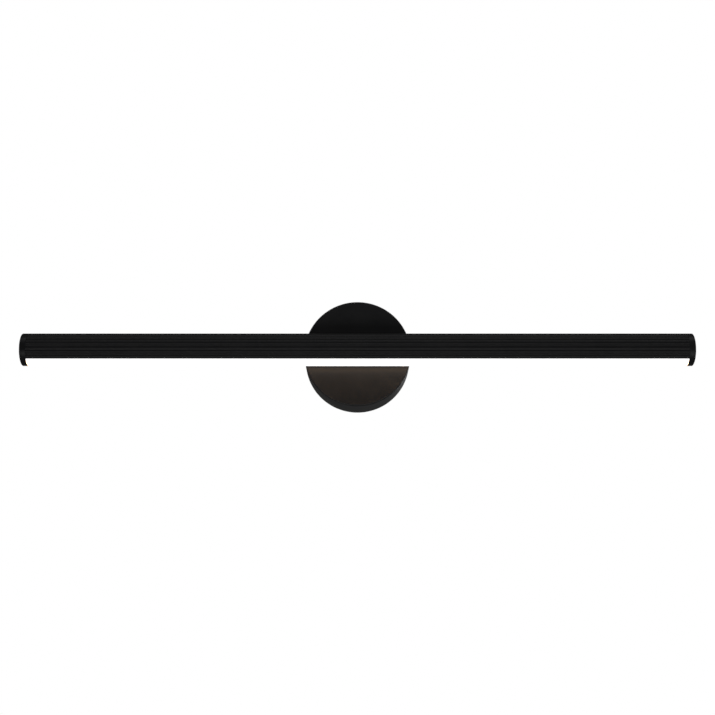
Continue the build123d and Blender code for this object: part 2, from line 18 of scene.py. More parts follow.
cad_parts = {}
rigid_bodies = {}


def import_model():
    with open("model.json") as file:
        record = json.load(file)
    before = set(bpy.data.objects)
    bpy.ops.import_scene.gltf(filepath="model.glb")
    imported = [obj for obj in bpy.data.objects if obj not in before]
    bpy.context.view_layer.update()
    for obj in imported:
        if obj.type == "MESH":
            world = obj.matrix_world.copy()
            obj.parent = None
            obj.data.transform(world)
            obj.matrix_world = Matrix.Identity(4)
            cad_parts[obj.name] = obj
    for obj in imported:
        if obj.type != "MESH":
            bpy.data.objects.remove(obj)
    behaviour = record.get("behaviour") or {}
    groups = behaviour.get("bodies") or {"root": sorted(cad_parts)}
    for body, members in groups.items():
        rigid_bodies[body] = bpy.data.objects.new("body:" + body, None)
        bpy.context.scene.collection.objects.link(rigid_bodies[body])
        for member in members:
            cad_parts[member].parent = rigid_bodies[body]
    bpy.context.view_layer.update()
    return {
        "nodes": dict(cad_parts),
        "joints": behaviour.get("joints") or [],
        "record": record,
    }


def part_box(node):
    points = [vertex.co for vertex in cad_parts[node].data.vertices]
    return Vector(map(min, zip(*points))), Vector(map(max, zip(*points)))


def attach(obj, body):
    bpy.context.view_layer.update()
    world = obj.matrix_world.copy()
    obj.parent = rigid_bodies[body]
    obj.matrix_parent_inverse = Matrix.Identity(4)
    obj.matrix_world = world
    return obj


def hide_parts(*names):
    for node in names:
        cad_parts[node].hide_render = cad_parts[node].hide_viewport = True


for leftover in list(bpy.data.objects):
    bpy.data.objects.remove(leftover)

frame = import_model()
nodes = frame["nodes"]

# %% [markdown]
# The bar has its own section plane, which is handier than world axes for a round thing. In it, u points
# into the room, v points up, and angles are counted from u towards v: 90 degrees is the top of the bar, 180
# is its back and 270 its underside. The model's boxes give the bar's axis, radius and length.

# %% The bar's axis, radius and length
MM = 0.001

housing_low, housing_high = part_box("housing")
cap_low, cap_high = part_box("end_cap_left")
bar_radius = cap_high.z
bar_axis_y = (cap_low.y + cap_high.y) / 2
housing_length = housing_high.x - housing_low.x
bar_half_length = -cap_low.x
cap_thickness = cap_high.x - cap_low.x


def bar_point(u, v, x):
    """A point of the section plane at x, in the shared frame."""
    return Vector((x, bar_axis_y - u, v))


def polar(radius, degrees):
    return radius * math.cos(math.radians(degrees)), radius * math.sin(math.radians(degrees))


print(f"bar radius {bar_radius / MM:.1f} mm, length {2 * bar_half_length / MM:.0f} mm")

# %% [markdown]
# The camera stands below the bar and looks slightly up at it, the way a person sees a lamp over a mirror.
# The nearer it stands, the rounder the bar's ends look, so its distance is counted in bar radii. It is far
# off, with a long lens that looks straight ahead and isn't shifted.

# %% Camera
VIEW_DISTANCE = 76.45 * bar_radius
VIEW_ELEVATION = math.radians(12.0)
VIEW_PITCH = math.radians(11.643)
LENS_LENGTH = 62.5
SENSOR_WIDTH = 36.0
NEAREST, FARTHEST = 0.01, 100.0

camera_data = bpy.data.cameras.new("camera")
camera_data.lens = LENS_LENGTH
camera_data.sensor_width = SENSOR_WIDTH
camera_data.clip_start = NEAREST
camera_data.clip_end = FARTHEST
camera = bpy.data.objects.new("camera", camera_data)
bpy.context.scene.collection.objects.link(camera)
camera.location = (0,
                   bar_axis_y - VIEW_DISTANCE * math.cos(VIEW_ELEVATION),
                   -VIEW_DISTANCE * math.sin(VIEW_ELEVATION))
camera.rotation_euler = (math.radians(90) + VIEW_PITCH, 0, 0)
bpy.context.scene.camera = camera
print("camera at", [round(value, 3) for value in camera.location])

# %% [markdown]
# Faces are shaded smooth, and an edge is kept sharp where the two faces beside it meet at more than a set
# angle, so a turned part looks round and still has crisp shoulders.

# %% Wrapping a mesh as a piece
SHARP_ANGLE = math.radians(28)
DOUBLES = 1e-7


def shade(mesh):
    """Smooth shading with sharp edges kept."""
    for polygon in mesh.polygons:
        polygon.use_smooth = True
    mesh.set_sharp_from_angle(angle=SHARP_ANGLE)


def as_piece(name, mesh, body, replaced, material):
    """An object for a finished mesh, riding on its body in place of the model's plain solids."""
    mesh.name = name
    if not mesh.has_custom_normals:
        shade(mesh)
    mesh.materials.clear()
    mesh.materials.append(material)
    piece = bpy.data.objects.new(name, mesh)
    bpy.context.scene.collection.objects.link(piece)
    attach(piece, body)
    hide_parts(*replaced)
    print(f"{name}: {len(mesh.polygons)} faces")
    return piece


def mesh_from(bm, name):
    """Closes a bmesh off: doubles merged, faces outwards."""
    bmesh.ops.remove_doubles(bm, verts=bm.verts, dist=DOUBLES)
    bmesh.ops.recalc_face_normals(bm, faces=bm.faces)
    mesh = bpy.data.meshes.new(name)
    bm.to_mesh(mesh)
    bm.free()
    return mesh


print(f"edges sharper than {math.degrees(SHARP_ANGLE):.0f} degrees stay crisp")

# %% [markdown]
# Half the lamp's parts are turned on a lathe, so one helper does what a lathe does: it takes an outline of
# (radius, position along the axis) and spins it. A real edge is never perfectly sharp, and it is the
# rounded edge that catches the light, so a second helper rounds the outline's corners before it is spun.

# %% A lathe
STRAIGHT = math.radians(178)
MOST_OF_SIDE = 0.45
ON_AXIS = 1e-7
AXES = {
    "x": Matrix(((0, 0, 1), (1, 0, 0), (0, 1, 0))),
    "y": Matrix(((1, 0, 0), (0, 0, 1), (0, -1, 0))),
    "z": Matrix.Identity(3),
}


def rounded(outline, radius, steps=4, closed=True):
    """The outline with each corner replaced by an arc; a corner (x, y, r) has a radius of its own."""
    points = [Vector(point[:2]) for point in outline]
    radii = [point[2] if len(point) > 2 else radius for point in outline]
    result = []
    for index, (corner, radius) in enumerate(zip(points, radii)):
        if not closed and index in (0, len(points) - 1) or radius <= 0:
            result.append(corner)
            continue
        before = points[index - 1] - corner
        after = points[(index + 1) % len(points)] - corner
        angle = before.angle(after)
        if angle > STRAIGHT:
            result.append(corner)
            continue
        reach = min(radius / math.tan(angle / 2), MOST_OF_SIDE * before.length, MOST_OF_SIDE * after.length)
        arc_radius = reach * math.tan(angle / 2)
        middle = (before.normalized() + after.normalized()).normalized()
        centre = corner + middle * (arc_radius / math.sin(angle / 2))
        first = corner + before.normalized() * reach - centre
        last = corner + after.normalized() * reach - centre
        for step in range(steps + 1):
            result.append(centre + arc_radius * first.slerp(last, step / steps))
    return [tuple(point) for point in result]


def turned(outline, axis, origin, segments=96, closed=True):
    """Spins an outline of (radius, along) about an axis. An open outline starts and ends on the axis."""
    bm = bmesh.new()
    to_frame = AXES[axis]
    rings = []
    for radius, along in outline:
        if radius < ON_AXIS:
            rings.append([bm.verts.new(to_frame @ Vector((0, 0, along)) + Vector(origin))])
            continue
        ring = []
        for index in range(segments):
            x, y = polar(radius, 360 * index / segments)
            ring.append(bm.verts.new(to_frame @ Vector((x, y, along)) + Vector(origin)))
        rings.append(ring)
    pairs = list(zip(rings, rings[1:]))
    if closed:
        pairs.append((rings[-1], rings[0]))
    for low, high in pairs:
        for index in range(segments):
            following = (index + 1) % segments
            corners = [low[index % len(low)], low[following % len(low)],
                       high[following % len(high)], high[index % len(high)]]
            face = list(dict.fromkeys(corners))
            if len(face) > 2:
                bm.faces.new(face)
    return bm


print("the lathe turns about", ", ".join(AXES))

# %% [markdown]
# Blender's modifiers do much of the workshop's work, such as bevels and Booleans. Each is used once and
# applied at once, on a helper object that is thrown away, so every mesh below is plain and finished.

# %% Applying a modifier
def evaluated(obj):
    """The object's mesh with its modifiers applied."""
    depsgraph = bpy.context.evaluated_depsgraph_get()
    return bpy.data.meshes.new_from_object(obj.evaluated_get(depsgraph))


def with_modifier(mesh, kind, **settings):
    """The mesh after one modifier."""
    helper = bpy.data.objects.new("helper", mesh)
    bpy.context.scene.collection.objects.link(helper)
    modifier = helper.modifiers.new("step", kind)
    for name, value in settings.items():
        setattr(modifier, name, value)
    result = evaluated(helper)
    bpy.data.objects.remove(helper)
    return result


def with_boolean(mesh, operation, tools):
    """The mesh with each tool's mesh added to it or taken out of it."""
    for tool_mesh in tools:
        tool = bpy.data.objects.new("tool", tool_mesh)
        bpy.context.scene.collection.objects.link(tool)
        mesh = with_modifier(mesh, "BOOLEAN", object=tool, operation=operation, solver="EXACT")
        bpy.data.objects.remove(tool)
    return mesh


def cut(mesh, *cutters):
    return with_boolean(mesh, "DIFFERENCE", cutters)


def joined(mesh, *others):
    return with_boolean(mesh, "UNION", others)


print("modifiers are applied as soon as they are set")

# %% [markdown]
# Parts cut from sheet or pressed, such as the mounting plate, are right in the measured model already. They
# only need what a press tool leaves: merged faces, and a small bevel on every sharp edge. The helper copies
# the model's mesh, merges its loose triangles into flat faces and bevels the edges. A face with more than
# four corners is always flat here, so it is shaded flat. Weighted normals keep a large four-sided face
# looking flat right up to the narrow bevel beside it.

# %% Breaking the edges of a measured part
LOOSE_TRIANGLES = 1e-6
FLAT = math.radians(0.5)
BEVEL_ANGLE = math.radians(32)


def eased_copy(node, bevel):
    bm = bmesh.new()
    bm.from_mesh(nodes[node].data)
    bmesh.ops.remove_doubles(bm, verts=bm.verts, dist=LOOSE_TRIANGLES)
    bmesh.ops.dissolve_limit(bm, angle_limit=FLAT, verts=bm.verts, edges=bm.edges)
    mesh = bpy.data.meshes.new(node + "_eased")
    bm.to_mesh(mesh)
    bm.free()
    if bevel > 0:
        mesh = with_modifier(mesh, "BEVEL", width=bevel, segments=2, limit_method="ANGLE",
                             angle_limit=BEVEL_ANGLE, use_clamp_overlap=True)
    shade(mesh)
    for polygon in mesh.polygons:
        polygon.use_smooth = len(polygon.vertices) <= 4
    return with_modifier(mesh, "WEIGHTED_NORMAL", keep_sharp=True)


print(f"edges sharper than {math.degrees(BEVEL_ANGLE):.0f} degrees get a bevel")

# %% [markdown]
# ## Finishes
#
# Each finish is a small node tree on the Principled shader. The patterns read Object coordinates, which are
# the shared frame's metres, so a grain size written here is a real size. Values that are the same all over
# a surface are set on the shader's own sockets. Only what varies is linked.

# %% Starting a material
def new_material(name, colour, roughness, metallic=0.0, specular=0.5):
    material = bpy.data.materials.new(name)
    material.use_nodes = True
    shader = material.node_tree.nodes["Principled BSDF"]
    shader.inputs["Base Color"].default_value = (*colour, 1)
    shader.inputs["Roughness"].default_value = roughness
    shader.inputs["Metallic"].default_value = metallic
    shader.inputs["Specular IOR Level"].default_value = specular
    return material, material.node_tree, shader


def object_pattern(tree, stretch=(1, 1, 1)):
    """Object coordinates, stretched for a pattern that runs along one axis."""
    coordinates = tree.nodes.new("ShaderNodeTexCoord")
    mapping = tree.nodes.new("ShaderNodeMapping")
    mapping.inputs["Scale"].default_value = stretch
    tree.links.new(coordinates.outputs["Object"], mapping.inputs["Vector"])
    return mapping.outputs["Vector"]


def noise(tree, vector, scale, detail=3.0, roughness=0.55):
    texture = tree.nodes.new("ShaderNodeTexNoise")
    texture.inputs["Scale"].default_value = scale
    texture.inputs["Detail"].default_value = detail
    texture.inputs["Roughness"].default_value = roughness
    tree.links.new(vector, texture.inputs["Vector"])
    return texture.outputs["Fac"]


def remap(tree, value, low, high, from_low=0.3, from_high=0.7):
    """Spreads a pattern's middle range between two values."""
    node = tree.nodes.new("ShaderNodeMapRange")
    node.inputs["From Min"].default_value = from_low
    node.inputs["From Max"].default_value = from_high
    node.inputs["To Min"].default_value = low
    node.inputs["To Max"].default_value = high
    tree.links.new(value, node.inputs["Value"])
    return node.outputs["Result"]


def colour_between(tree, value, first, second):
    ramp = tree.nodes.new("ShaderNodeValToRGB")
    ramp.color_ramp.elements[0].color = (*first, 1)
    ramp.color_ramp.elements[1].color = (*second, 1)
    tree.links.new(value, ramp.inputs["Fac"])
    return ramp.outputs["Color"]


def bump(tree, shader, height, distance, strength=1.0):
    """Relief of a real depth, in metres."""
    node = tree.nodes.new("ShaderNodeBump")
    node.inputs["Strength"].default_value = strength
    node.inputs["Distance"].default_value = distance
    tree.links.new(height, node.inputs["Height"])
    tree.links.new(node.outputs["Normal"], shader.inputs["Normal"])


print("material helpers ready")

# %% [markdown]
# The lamp's black is a powder coat. Powder melts into a skin that is never quite flat: it has a fine grain,
# about half a millimetre across and a few microns deep, and it is a little glossier where it flowed out.
# The extruded bar also keeps faint draw lines from its die, so its pattern is stretched along the bar. The
# bar and its caps wear the same coat as the canopy, but their colour is painted a shade darker, as painted
# shade, because they face more of the light and still have to look as black.

# %% Satin black powder coat
COAT = (0.0180, 0.0180, 0.0190)
COAT_WORN = (0.0230, 0.0230, 0.0238)
COAT_SPECULAR = 0.22
# painted shade: the bar's and caps' colours are the canopy's coat darkened, because the bar faces more of the
# light
BAR_COAT_PAINTED_SHADE = (0.0110, 0.0110, 0.0118)
BAR_COAT_WORN_PAINTED_SHADE = (0.0145, 0.0145, 0.0152)
BAR_SPECULAR = 0.16
COAT_GRAIN = 2200.0
COAT_CLOUDS = 38.0
COAT_ROUGHNESS = (0.33, 0.41)
COAT_RELIEF = 0.006 * MM
DRAW_LINES = 3400.0
DRAW_LINE_STRETCH = (0.004, 1, 1)
DRAW_LINE_SHARE = 0.7


def powder_coat(name, colour, worn, specular, draw_lines):
    material, tree, shader = new_material(name, colour, COAT_ROUGHNESS[1], specular=specular)
    grain = noise(tree, object_pattern(tree), COAT_GRAIN, detail=2.0)
    cloud = noise(tree, object_pattern(tree), COAT_CLOUDS, detail=4.0)
    tree.links.new(remap(tree, cloud, *COAT_ROUGHNESS), shader.inputs["Roughness"])
    tree.links.new(colour_between(tree, remap(tree, cloud, 0, 1), colour, worn), shader.inputs["Base Color"])
    height = grain
    if draw_lines:
        lines = noise(tree, object_pattern(tree, DRAW_LINE_STRETCH), DRAW_LINES, detail=2.0)
        mix = tree.nodes.new("ShaderNodeMath")
        mix.operation = "MULTIPLY_ADD"
        mix.inputs[1].default_value = DRAW_LINE_SHARE
        tree.links.new(lines, mix.inputs[0])
        tree.links.new(grain, mix.inputs[2])
        height = mix.outputs[0]
    bump(tree, shader, height, COAT_RELIEF, 0.6)
    return material


canopy_coat = powder_coat("canopy_powder_coat", COAT, COAT_WORN, COAT_SPECULAR, draw_lines=False)
bar_coat_painted_shade = powder_coat("bar_powder_coat_painted_shade", BAR_COAT_PAINTED_SHADE, BAR_COAT_WORN_PAINTED_SHADE, BAR_SPECULAR, draw_lines=True)
cap_coat_painted_shade = powder_coat("cap_powder_coat_painted_shade", BAR_COAT_PAINTED_SHADE, BAR_COAT_WORN_PAINTED_SHADE, BAR_SPECULAR, draw_lines=False)
print("powder coats:", canopy_coat.name, bar_coat_painted_shade.name, cap_coat_painted_shade.name)

# %% [markdown]
# The opal strip is a milky acrylic with a satin outside. Lit from within it is brighter than anything
# around it, so it is an emitter, and the part that shows from the front reads as plain white. A color ramp
# across the strip, from its front edge to its wall edge, shapes the glow: one strong band faces the
# floor and the room, and a weaker one faces the wall. The bands are warm, about 3000 kelvin, and the weak
# glow between them is whiter. How strong each band is decides how the light falls on the lower half of the
# canopy.

# %% Lit opal acrylic
LAMP_COLOUR = (1.0, 0.62, 0.32)
LAMP_POWER = 11.0
LAMP_PROFILE = ((0.0, 0.12), (0.3, 1.0), (0.48, 0.14), (0.64, 0.12), (0.78, 0.4), (1.0, 0.04))
WARM_SPAN = (0.14, 0.36)
STRIP_HALF_ANGLE = math.radians(45)
MILK = (0.93, 0.92, 0.90)
MILK_MOTTLE = 900.0
MILK_ROUGHNESS = (0.34, 0.42)


def opal():
    material, tree, shader = new_material("opal_acrylic", MILK, MILK_ROUGHNESS[1])
    mottle = noise(tree, object_pattern(tree), MILK_MOTTLE, detail=2.0)
    tree.links.new(remap(tree, mottle, *MILK_ROUGHNESS), shader.inputs["Roughness"])
    place = tree.nodes.new("ShaderNodeSeparateXYZ")
    tree.links.new(object_pattern(tree), place.inputs[0])
    edge = bar_radius * math.sin(STRIP_HALF_ANGLE)
    across_strip = remap(tree, place.outputs["Y"], 0, 1, bar_axis_y - edge, bar_axis_y + edge)
    profile = tree.nodes.new("ShaderNodeValToRGB")
    profile.color_ramp.interpolation = "EASE"
    first, *middle, last = LAMP_PROFILE
    stops = profile.color_ramp.elements
    stops[0].color = (*[first[1]] * 3, 1)
    stops[1].color = (*[last[1]] * 3, 1)
    for across_fraction, glow in middle:
        stops.new(across_fraction).color = (glow, glow, glow, 1)
    tree.links.new(across_strip, profile.inputs["Fac"])
    warmth = remap(tree, profile.outputs["Color"], 0, 1, *WARM_SPAN)
    tree.links.new(colour_between(tree, warmth, (1, 1, 1), LAMP_COLOUR), shader.inputs["Emission Color"])
    power = tree.nodes.new("ShaderNodeMath")
    power.operation = "MULTIPLY"
    power.inputs[1].default_value = LAMP_POWER
    tree.links.new(profile.outputs["Color"], power.inputs[0])
    tree.links.new(power.outputs[0], shader.inputs["Emission Strength"])
    return material


opal_acrylic = opal()
print("opal strip:", opal_acrylic.name)

# %% [markdown]
# ## The bar
#
# The housing is the lamp's face, and its shape follows one rule: a round wall whose outside dips once every
# twelve degrees. That is a job for Geometry Nodes, where the rule is written once and the numbers are named
# inputs. These helpers build a tree node by node and run it on a start mesh, or on nothing. The result is a
# plain mesh, and the modifier is gone before the mesh becomes a piece.

# %% Node helpers
def new_tree(name, **numbers):
    """A Geometry Nodes tree with one geometry in and out and a named input for each number."""
    tree = bpy.data.node_groups.new(name, "GeometryNodeTree")
    tree.interface.new_socket("Geometry", in_out="INPUT", socket_type="NodeSocketGeometry")
    kinds = {int: "NodeSocketInt", float: "NodeSocketFloat", tuple: "NodeSocketVector"}
    for label, value in numbers.items():
        kind = kinds[type(value)]
        socket = tree.interface.new_socket(label, in_out="INPUT", socket_type=kind)
        socket.default_value = value
    tree.interface.new_socket("Geometry", in_out="OUTPUT", socket_type="NodeSocketGeometry")
    given = tree.nodes.new("NodeGroupInput")
    result = tree.nodes.new("NodeGroupOutput")
    return tree, given, result


def connect(tree, target, value):
    """Sets a socket to a number or links it to another socket."""
    if isinstance(value, bpy.types.NodeSocket):
        tree.links.new(value, target)
    else:
        target.default_value = value


def calc(tree, kind, *values):
    """One Math node, such as ADD or COSINE."""
    node = tree.nodes.new("ShaderNodeMath")
    node.operation = kind
    for socket, value in zip(node.inputs, values):
        connect(tree, socket, value)
    return node.outputs[0]


def add_node(tree, kind, output=0, **values):
    """A node with its sockets set or linked by name; returns one of its outputs."""
    node = tree.nodes.new(kind)
    for label, value in values.items():
        name = label.replace("_", " ")
        if name in node.inputs:
            connect(tree, node.inputs[name], value)
        else:
            setattr(node, label, value)
    return node.outputs[output]


def end_tree(tree, result, geometry, material):
    """The last two nodes of every tree: instances become real meshes, and the finish is set."""
    real = add_node(tree, "GeometryNodeRealizeInstances", Geometry=geometry)
    finished = add_node(tree, "GeometryNodeSetMaterial", Geometry=real, Material=material)
    tree.links.new(finished, result.inputs[0])
    return tree


def run_tree(tree, name, numbers=None, start=None):
    """Runs a tree on a start mesh, or on nothing, and returns the plain mesh that it makes."""
    start = start or bpy.data.meshes.new(name + "_start")
    helper = bpy.data.objects.new(name + "_helper", start)
    bpy.context.scene.collection.objects.link(helper)
    modifier = helper.modifiers.new("nodes", "NODES")
    modifier.node_group = tree
    identifiers = {item.name: item.identifier for item in tree.interface.items_tree
                   if item.in_out == "INPUT"}
    for label, value in (numbers or {}).items():
        modifier[identifiers[label]] = value
    result = evaluated(helper)
    helper.modifiers.remove(modifier)
    bpy.data.objects.remove(helper)
    return result


print("node helpers ready")

# %% [markdown]
# In the wall's tree, a line of points carries the outline: the first points walk along the outside and the
# rest walk back along the inside. Each point works out its own angle from its index, and the outside points
# sink by the flute's depth. The outline is then drawn along the bar.
#
# The flute is a shallow scoop, deepest in its middle, with a narrow crest left between two scoops. The
# crest is slightly rounded, because a coat of powder rounds every edge that it covers.

# %% The fluted wall, as a node tree
SECTION_TO_FRAME = Matrix(((0, 0, -1), (-1, 0, 0), (0, 1, 0)))


def fluted_wall_tree():
    tree, given, result = new_tree(
        "fluted_wall", Length=0.75, Radius=0.0185, Wall=0.0021, Start=-45.0, Land=3.0, Pitch=12.0,
        Flutes=22, Points=14, Depth=0.00045, Crest=0.22)
    value = given.outputs
    outside = calc(tree, "ADD", calc(tree, "MULTIPLY", value["Flutes"], value["Points"]), 3)
    count = calc(tree, "MULTIPLY", outside, 2)
    line = add_node(tree, "GeometryNodeMeshLine", Count=count)
    index = add_node(tree, "GeometryNodeInputIndex")
    is_outside = calc(tree, "LESS_THAN", index, outside)
    mirrored = calc(tree, "SUBTRACT", calc(tree, "SUBTRACT", count, 1), index)
    step = add_node(tree, "ShaderNodeMix", Factor=is_outside, A=mirrored, B=index)

    # the first and last step cross the plain lands; every step between them crosses a part of a flute
    walked = calc(tree, "SUBTRACT", step, 1)
    last = calc(tree, "MULTIPLY", value["Flutes"], value["Points"])
    fluted = calc(tree, "MAXIMUM", 0, calc(tree, "MINIMUM", walked, last))
    beyond = calc(tree, "MULTIPLY", calc(tree, "SUBTRACT", walked, fluted), value["Land"])
    flute = calc(tree, "DIVIDE", fluted, value["Points"])
    over_flutes = calc(tree, "MULTIPLY", flute, value["Pitch"])
    first = calc(tree, "ADD", value["Start"], value["Land"])
    degrees = calc(tree, "ADD", first, calc(tree, "ADD", over_flutes, beyond))
    angle = calc(tree, "RADIANS", degrees)

    # 0 in the middle of a flute, 1 on the crest; the crest's own width stays at 1
    wave = calc(tree, "PINGPONG", calc(tree, "ADD", flute, 0.5), 0.5)
    across = calc(tree, "MULTIPLY", wave, 2)
    side = calc(tree, "MINIMUM", 1, calc(tree, "DIVIDE", across, calc(tree, "SUBTRACT", 1, value["Crest"])))
    scoop = calc(tree, "POWER", calc(tree, "SUBTRACT", 1, calc(tree, "POWER", side, 2)), 1.25)
    sunk = calc(tree, "MULTIPLY", scoop, value["Depth"])
    outer = calc(tree, "SUBTRACT", value["Radius"], sunk)
    inner = calc(tree, "SUBTRACT", value["Radius"], value["Wall"])
    radius = add_node(tree, "ShaderNodeMix", Factor=is_outside, A=inner, B=outer)
    place = add_node(tree, "ShaderNodeCombineXYZ",
                     X=calc(tree, "MULTIPLY", radius, calc(tree, "COSINE", angle)),
                     Y=calc(tree, "MULTIPLY", radius, calc(tree, "SINE", angle)), Z=0.0)
    outline = add_node(tree, "GeometryNodeSetPosition", Geometry=line, Position=place)
    curve = add_node(tree, "GeometryNodeMeshToCurve", Mesh=outline)
    loop = add_node(tree, "GeometryNodeSetSplineCyclic", Geometry=curve, Cyclic=True)
    half = calc(tree, "DIVIDE", value["Length"], 2)
    path = add_node(tree, "GeometryNodeCurvePrimitiveLine",
                    Start=add_node(tree, "ShaderNodeCombineXYZ", Z=calc(tree, "MULTIPLY", half, -1)),
                    End=add_node(tree, "ShaderNodeCombineXYZ", Z=half))
    wall = add_node(tree, "GeometryNodeCurveToMesh", Curve=path, Profile_Curve=loop, Fill_Caps=True)
    return end_tree(tree, result, wall, bar_coat_painted_shade)


wall_mesh = run_tree(fluted_wall_tree(), "fluted_wall",
                     {"Length": housing_length, "Radius": bar_radius})
wall_mesh.transform(Matrix.Translation((0, bar_axis_y, 0)) @ SECTION_TO_FRAME.to_4x4())
print("fluted wall:", len(wall_mesh.vertices), "points")

# %% [markdown]
# Inside the wall, the extrusion has a flat web that carries the light engine, two round ports that take the
# end caps' screws, and a bead on each lower lip that the diffuser snaps over. They are plain outlines drawn
# along the bar, joined to the wall with a Boolean so that the housing is one closed skin. Then what a
# workshop cuts is cut: the screw ports' holes, the lead's hole, and the arc-shaped slot in the bar's back
# where the stem comes in. The slot is as long as the bar's turn, with a round end at each stop.

# %% Web, ports, beads and the stem's slot
WEB_TOP = -7.6 * MM
WEB_THICKNESS = 1.5 * MM
WEB_BOTTOM = WEB_TOP - WEB_THICKNESS
INNER_RADIUS = bar_radius - 2.1 * MM
WELD = 0.3 * MM
LIP_ANGLE = -45
BEAD_FACE = 11.4 * MM
BEAD_TOP = WEB_BOTTOM - 1.05 * MM
PORT_ANGLES = (30, 150)
PORT_AT = 14.2 * MM
PORT_RADIUS = 3.0 * MM
PORT_HOLE = 1.5 * MM
NECK_CLEARANCE = 4.3 * MM
SLOT_FROM = 8.5 * MM
SLOT_TO = 20.0 * MM
LEAD_X = 40.0 * MM
GROMMET_RADIUS = 2.5 * MM
aim = frame["joints"][0]
slot_first = 180 - aim["range_deg"][1]
slot_last = 180 - aim["range_deg"][0]
print(f"the slot runs from {slot_first:.0f} to {slot_last:.0f} degrees")


def arc(radius, first, last, steps):
    return [polar(radius, first + (last - first) * step / steps) for step in range(steps + 1)]


def extruded(outline, length):
    """A (u, v) outline drawn along the bar, centred on its middle."""
    bm = bmesh.new()
    ends = [[bm.verts.new(bar_point(u, v, side * length / 2)) for u, v in outline] for side in (-1, 1)]
    for end in ends:
        bm.faces.new(end)
    for index in range(len(outline)):
        following = (index + 1) % len(outline)
        bm.faces.new([ends[0][index], ends[0][following], ends[1][following], ends[1][index]])
    return mesh_from(bm, "extruded")


def plug(radius, start, direction, length, segments=48, end_radius=None):
    """A solid rod or cone from a point along a direction, as a tool to cut with."""
    outline = [(0, 0), (radius, 0), (radius if end_radius is None else end_radius, length), (0, length)]
    mesh = mesh_from(turned(outline, "z", (0, 0, 0), segments, closed=False), "plug")
    turn = Vector((0, 0, 1)).rotation_difference(Vector(direction)).to_matrix().to_4x4()
    mesh.transform(Matrix.Translation(start) @ turn)
    return mesh


def web_outline():
    reach = INNER_RADIUS + WELD
    low = math.degrees(math.asin(-WEB_BOTTOM / reach))
    top = math.degrees(math.asin(-WEB_TOP / reach))
    return arc(reach, -low, -top, 3) + arc(reach, 180 + top, 180 + low, 3)


def port_outline(angle):
    u, v = polar(PORT_AT, angle)
    limit = INNER_RADIUS + WELD
    ring = [(u + x, v + y) for x, y in arc(PORT_RADIUS, 0, 354, 59)]
    return [(x, y) if math.hypot(x, y) < limit
            else (x * limit / math.hypot(x, y), y * limit / math.hypot(x, y)) for x, y in ring]


def bead_outline(side):
    lip_u, lip_v = polar(INNER_RADIUS + 2 * WELD, LIP_ANGLE)
    wall_u = math.sqrt(INNER_RADIUS ** 2 - BEAD_TOP ** 2) + WELD
    corners = [(BEAD_FACE, BEAD_TOP), (BEAD_FACE, lip_v + 2 * WELD), (lip_u, lip_v), (wall_u, BEAD_TOP)]
    return [(side * u, v) for u, v in corners]


housing_mesh = joined(wall_mesh, extruded(web_outline(), housing_length),
                      *[extruded(port_outline(angle), housing_length) for angle in PORT_ANGLES],
                      *[extruded(bead_outline(side), housing_length) for side in (-1, 1)])
port_holes = [plug(PORT_HOLE, bar_point(*polar(PORT_AT, angle), -housing_length), (1, 0, 0),
                   2 * housing_length, 24) for angle in PORT_ANGLES]
slot_ring = extruded(arc(SLOT_FROM, slot_first, slot_last, 24) + arc(SLOT_TO, slot_last, slot_first, 48),
                     2 * NECK_CLEARANCE)
slot_ends = []
for angle in (slot_first, slot_last):
    u, v = polar(1, angle)
    start = bar_point(SLOT_FROM * u, SLOT_FROM * v, 0)
    slot_ends.append(plug(NECK_CLEARANCE, start, (0, -u, v), SLOT_TO - SLOT_FROM))
lead_hole = plug(GROMMET_RADIUS, bar_point(0, WEB_BOTTOM - WELD, LEAD_X), (0, 0, 1),
                 WEB_THICKNESS + 2 * WELD, 32)
housing_mesh = cut(housing_mesh, *port_holes, slot_ring, *slot_ends, lead_hole)
as_piece("fluted_housing", housing_mesh, "light_bar", ["housing"], bar_coat_painted_shade)

# %% [markdown]
# The opal strip closes the bar's underside at the same radius, so the bar stays round all the way. It is an
# extrusion too: an arc with a leg near each edge, and on each leg a barb that snaps over the housing's
# bead.

# %% Opal strip
STRIP_THICKNESS = 1.5 * MM
STRIP_FIRST = 225.5
STRIP_LAST = 314.5
LEG_INNER = 10.0 * MM
LEG_OUTER = 11.2 * MM
BARB_TIP = 12.5 * MM
LEG_TOP = WEB_BOTTOM - 0.3 * MM
BARB_BOTTOM = LEG_TOP - 0.6 * MM


def strip_outline():
    inner = bar_radius - STRIP_THICKNESS
    leg_outside = 360 - math.degrees(math.acos(LEG_OUTER / inner))
    leg_inside = 360 - math.degrees(math.acos(LEG_INNER / inner))
    front_leg = [(LEG_OUTER, BARB_BOTTOM), (BARB_TIP, BARB_BOTTOM), (BARB_TIP, LEG_TOP),
                 (LEG_INNER, LEG_TOP)]
    back_leg = [(-u, v) for u, v in reversed(front_leg)]
    return (arc(bar_radius, STRIP_FIRST, STRIP_LAST, 64) + arc(inner, STRIP_LAST, leg_outside, 4)
            + front_leg + arc(inner, leg_inside, 540 - leg_inside, 48) + back_leg
            + arc(inner, 540 - leg_outside, STRIP_FIRST, 4))


as_piece("opal_strip", extruded(strip_outline(), housing_length), "light_bar",
         ["diffuser"], opal_acrylic)

# %% [markdown]
# Each end cap is a flat disc, as wide as the bar over its ridges. Its outer edge is rounded and its inner
# edge is eased, which leaves the fine dark line between cap and housing. Two countersunk screws hold it.

# %% End caps
CAP_EDGE = 0.7 * MM
CAP_EASE = 0.5 * MM
SINK_RADIUS = 2.8 * MM
SINK_DEPTH = 1.3 * MM
SCREW_HOLE = 1.6 * MM


